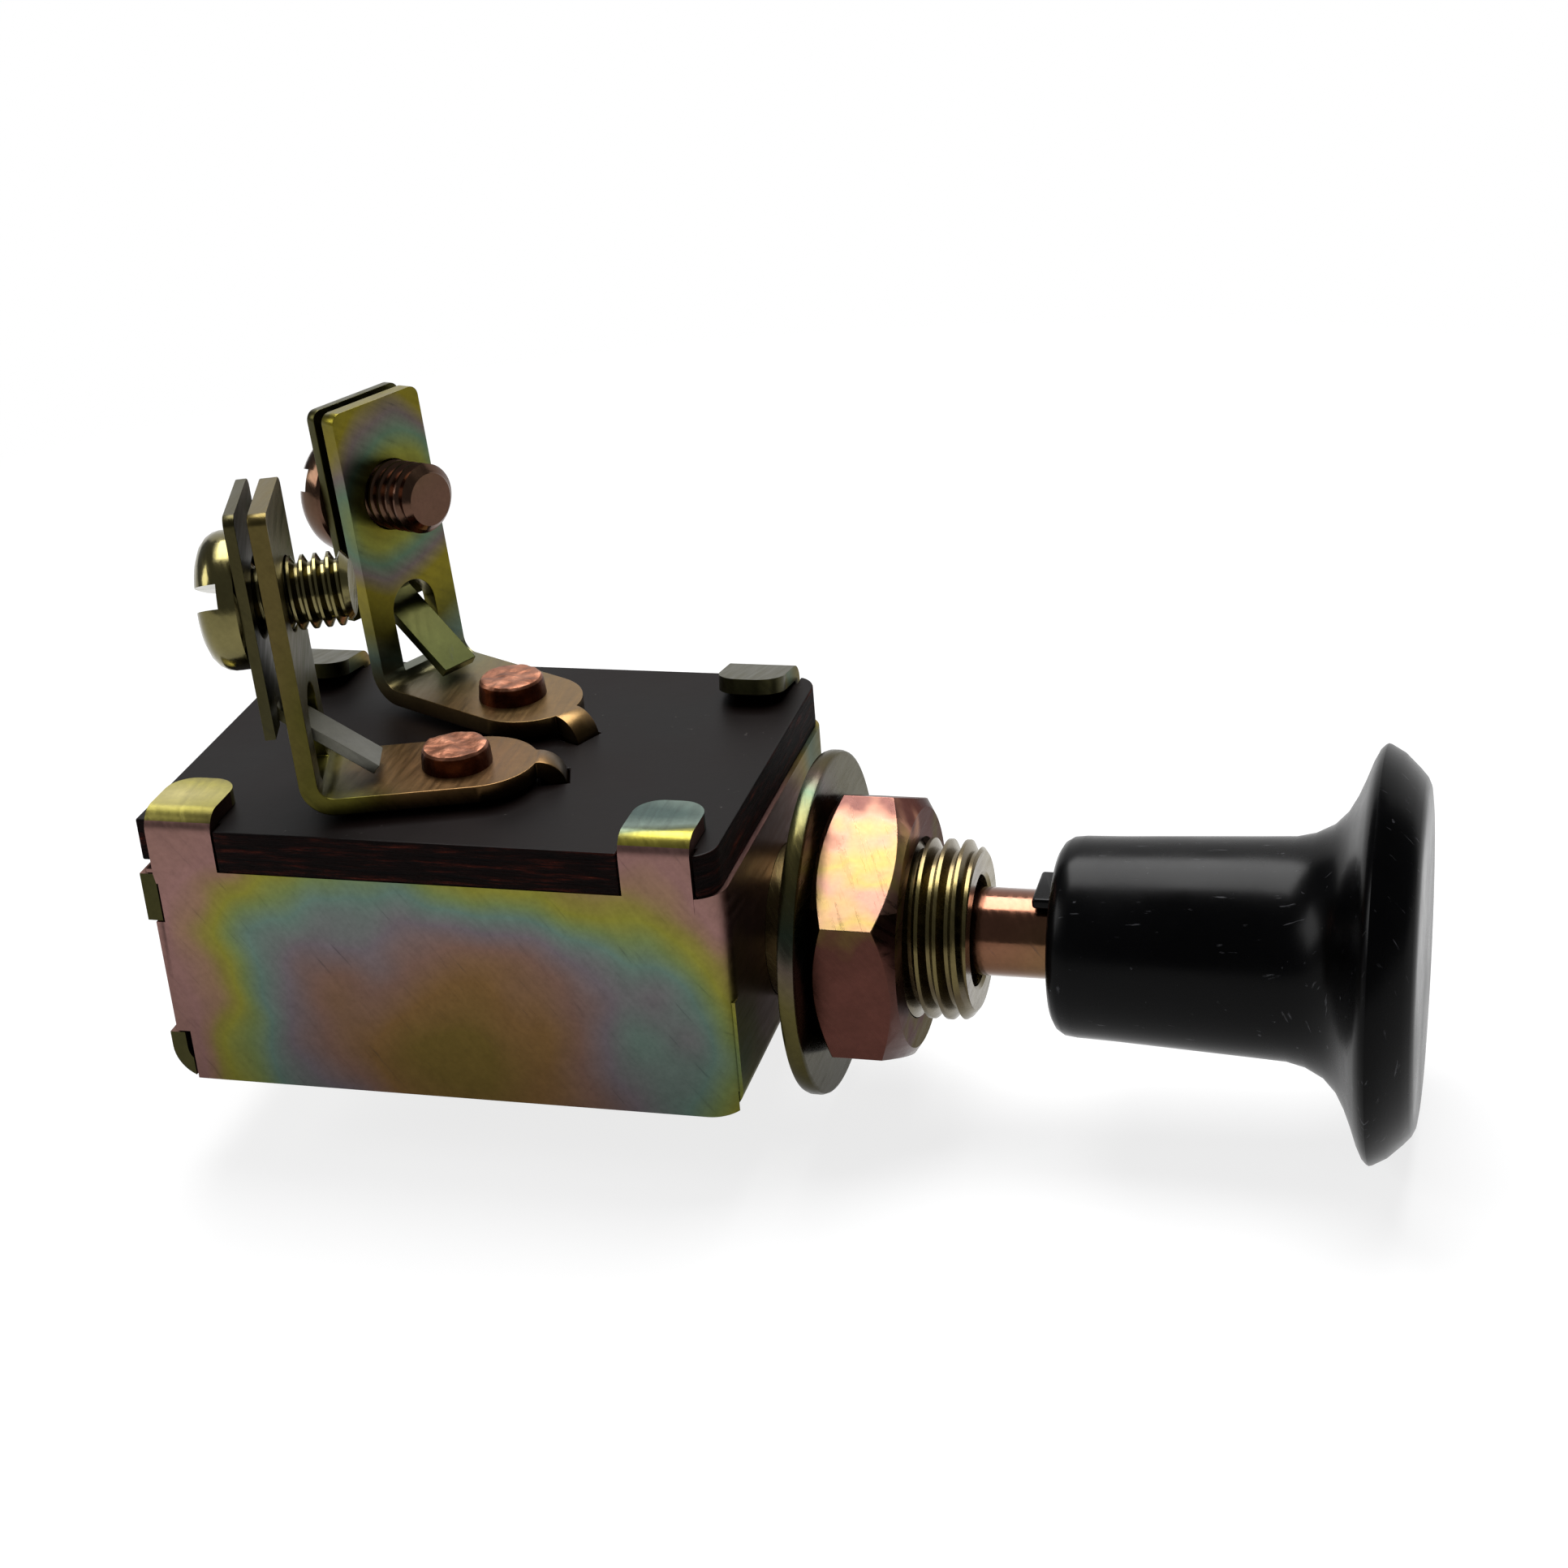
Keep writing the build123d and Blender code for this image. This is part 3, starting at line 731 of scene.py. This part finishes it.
# A clamp plate of thinner grey zinc plated steel lies behind each strap. Its tongue is lanced out
# and bent through the strap's window, which keeps the plate from turning.
grey_film = [
    (0.0, tone(100, 99, 92)),
    (0.3, tone(92, 91, 82)),
    (0.5, tone(58, 56, 40)),
    (1.0, tone(64, 60, 40)),
]
olive_film = [
    (0.0, tone(54, 57, 34)),
    (0.5, tone(60, 62, 36)),
    (1.0, tone(66, 64, 38)),
]
grey_finish = plated_finish(
    "near clamp plate", grey_film, (-21, -7, 12), (8, 8, 12), drift=0.2, roughness=0.3, seed=0.31
)
olive_finish = plated_finish(
    "far clamp plate", olive_film, (-20, 6, 12), (8, 8, 12), drift=0.2, roughness=0.3, seed=0.67
)
eased_copy("near_clamp_plate", 0.06, grey_finish)
eased_copy("far_clamp_plate", 0.06, olive_finish)

# The terminal screws are slotted steel with domed heads and rolled threads. The near one is bright
# and the far one has turned bronze.
screw_films = {
    "near": [(0.0, tone(118, 110, 80)), (0.5, tone(110, 103, 68)), (1.0, tone(106, 100, 66))],
    "far": [(0.0, tone(80, 64, 48)), (0.5, tone(88, 66, 55)), (1.0, tone(84, 70, 48))],
}
joints = {joint["name"]: joint for joint in frame["joints"]}
head_back = -3.75
head_front = -1.25
screw_end = 4.3
slot_depth = 1.5
slot_width = 1.3
saw_height = 2.1
for side in ("near", "far"):
    # The thread is cut past both ends of the turned bar, which then gives the screw its point
    screw = threaded_bar(side + "_screw_piece", 2.0, 0.7, head_front - 0.8, screw_end + 0.5)
    shank_start = head_front - 0.2
    point = bar_from_profile(
        "point",
        [(shank_start, 0), (shank_start, 2.1), (screw_end - 0.5, 2.1), (screw_end, 1.5), (screw_end, 0)],
    )
    shape_with(screw, point, "INTERSECT")
    head = bar_from_profile(
        "head",
        [(head_front, 0), (head_front, 3.5), (head_front - 0.12, 3.68), (head_front - 0.35, 3.74),
         (head_back + 1.45, 3.75), (head_back + 1.1, 3.68), (head_back + 0.75, 3.48),
         (head_back + 0.42, 3.1), (head_back + 0.18, 2.55), (head_back + 0.05, 1.8), (head_back, 0.9),
         (head_back, 0)],
    )
    bpy.ops.object.select_all(action="DESELECT")
    bpy.ops.mesh.primitive_cube_add(
        size=1,
        location=((head_back + slot_depth - saw_height / 2) * mm, 0, 0),
        scale=(saw_height * mm, 9 * mm, slot_width * mm),
    )
    saw = bpy.context.object
    saw.rotation_euler = (radians(-25), 0, 0)
    shape_with(head, saw, "DIFFERENCE")
    shape_with(screw, head, "UNION")
    hinge = joints[side + "_screw_turn"]
    forward = -Vector(hinge["axis"])
    across = Vector((0, 0, 1)).cross(forward).normalized()
    turn = Matrix((forward, across, forward.cross(across))).transposed()
    screw.matrix_world = Matrix.LocRotScale(Vector(hinge["pos_m"]), turn, None)
    bpy.ops.object.transform_apply()
    bpy.ops.object.shade_smooth_by_angle(angle=radians(30))
    centre = [value / mm for value in hinge["pos_m"]]
    screw_finish = plated_finish(
        side + " screw plate", screw_films[side], centre, (7, 7, 7), drift=0.2, roughness=0.12, seed=0.47
    )
    screw.data.materials.clear()
    screw.data.materials.append(screw_finish)
    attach(screw, side + "_screw")
    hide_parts(side + "_terminal_screw")

# The shaft is drawn brass rod with a copper coloured plate, polished by sliding in the bushing. Its
# tail carries the carriage inside the case, and the knob is pressed on its front end.
shaft_film = [
    (0.0, tone(128, 86, 72)),
    (0.5, tone(112, 78, 62)),
    (1.0, tone(110, 90, 58)),
]
shaft_finish = plated_finish(
    "polished shaft", shaft_film, (13, 0, 2), (8, 6, 6), drift=0.2, roughness=0.1, seed=0.19
)
eased_copy("shaft", 0.1, shaft_finish)

# Inside the case, where only an open case would show them: a phenolic carriage on the shaft, a
# copper bridge on its leaf spring, and a sprung ball that clicks into the floor.
phenolic, tree, shader = new_finish("brown phenolic")
place = add(tree, "TexCoord").outputs["Object"]
swirl = noise(tree, place, scale=300, detail=6)
brown_film = [(0.3, tone(70, 42, 26)), (0.7, tone(112, 70, 44))]
tree.links.new(blend_tones(tree, swirl, brown_film), shader.inputs["Base Color"])
shader.inputs["Roughness"].default_value = 0.45
spring_film = [(0.0, tone(170, 170, 168)), (1.0, tone(140, 140, 138))]
spring_steel = plated_finish(
    "spring steel", spring_film, (-25, 0, 0), (12, 12, 12), drift=0.2, roughness=0.25
)
inner_finishes = {
    "carriage": phenolic,
    "retaining_ring": spring_steel,
    "contact_bridge": coppers["struck_and_lit"],
    "detent_ball": spring_steel,
}
for node, inner_finish in inner_finishes.items():
    inner = frame["nodes"][node]
    inner.data.materials.clear()
    inner.data.materials.append(inner_finish)
# Each spring is an eased copy in its place, with a mesh of its own
for node, joint, fixed_end in (("contact_spring", "bridge_press", 0), ("detent_spring", "detent_press", 1)):
    spring = eased_copy(node, 0.02, spring_steel)
    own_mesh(spring)

# The knob is moulded black phenolic, pressed on the shaft. It is polished by hands, with small
# scratches, and its flared rim gives fingers a hold for the pull.
knob_back = 15.55
hole_end = 28
hole_radius = 2.48
widest = 32.8
knob = bar_from_profile(
    "knob_piece",
    [(hole_end, 0), (hole_end, hole_radius), (knob_back, hole_radius), (knob_back, 4.4), (15.62, 4.82),
     (15.85, 5.2), (16.25, 5.45), (16.9, 5.53), (19, 5.6), (23, 5.8), (26.5, 5.97), (28.2, 6.06), (29.2, 6.3),
     (30.2, 6.82), (30.9, 7.55), (31.4, 8.45), (31.8, 9.4), (32.15, 10.35), (32.45, 10.95),
     (32.68, 11.18), (widest, 11.24), (32.95, 11.2), (33.7, 10.77), (34.5, 10.0), (34.9, 9.55),
     (35.08, 9.15), (35.15, 8.6), (35.17, 6.5), (35.19, 3.5), (35.2, 0.5), (35.2, 0)],
    steps=128,
)
lug_place = Vector((15.2, 0, 2.75)) * mm
lug_size = Vector((1.6, 3.4, 0.6)) * mm
bpy.ops.object.select_all(action="DESELECT")
bpy.ops.mesh.primitive_cube_add(size=1, location=lug_place, scale=lug_size)
lug = bpy.context.object
bpy.ops.object.transform_apply()
rounded = lug.modifiers.new("moulded edges", "BEVEL")
rounded.width = 0.18 * mm
rounded.segments = 3
bpy.ops.object.modifier_apply(modifier=rounded.name)
shape_with(knob, lug, "UNION")
bpy.ops.object.shade_smooth_by_angle(angle=radians(40))
black, tree, shader = new_finish("black knob")
place = add(tree, "TexCoord").outputs["Object"]
wear = noise(tree, place, scale=160, detail=5, roughness=0.6)
skin = blend_tones(tree, wear, [(0.3, tone(4, 4, 5)), (0.7, tone(9, 9, 10))])
tree.links.new(rescale(tree, wear, (0.3, 0.7), (0.2, 0.32)), shader.inputs["Roughness"])
shader.inputs["Specular IOR Level"].default_value = 0.14
shader.inputs["IOR"].default_value = 1.35
slant = {"Vector": place, "Rotation": (0.4, 0.9, 0.3), "Scale": (1, 9, 1)}
hairs = noise(tree, add(tree, "Mapping", slant).outputs[0], scale=700, detail=3)
nick = rescale(tree, hairs, (0.68, 0.76))
dust = rescale(tree, noise(tree, place, scale=2600), (0.74, 0.8))
mark = add(tree, "Math", {0: nick, 1: dust}, operation="MAXIMUM").outputs[0]
tree.links.new(mix_tones(tree, mark, skin, tone(58, 58, 60)), shader.inputs["Base Color"])
scuffed = bump(tree, nick, strength=0.12, depth=0.04, sunk=True)
tree.links.new(bump(tree, wear, strength=0.06, depth=0.2, over=scuffed), shader.inputs["Normal"])
knob.data.materials.clear()
knob.data.materials.append(black)
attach(knob, "plunger")
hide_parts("knob")
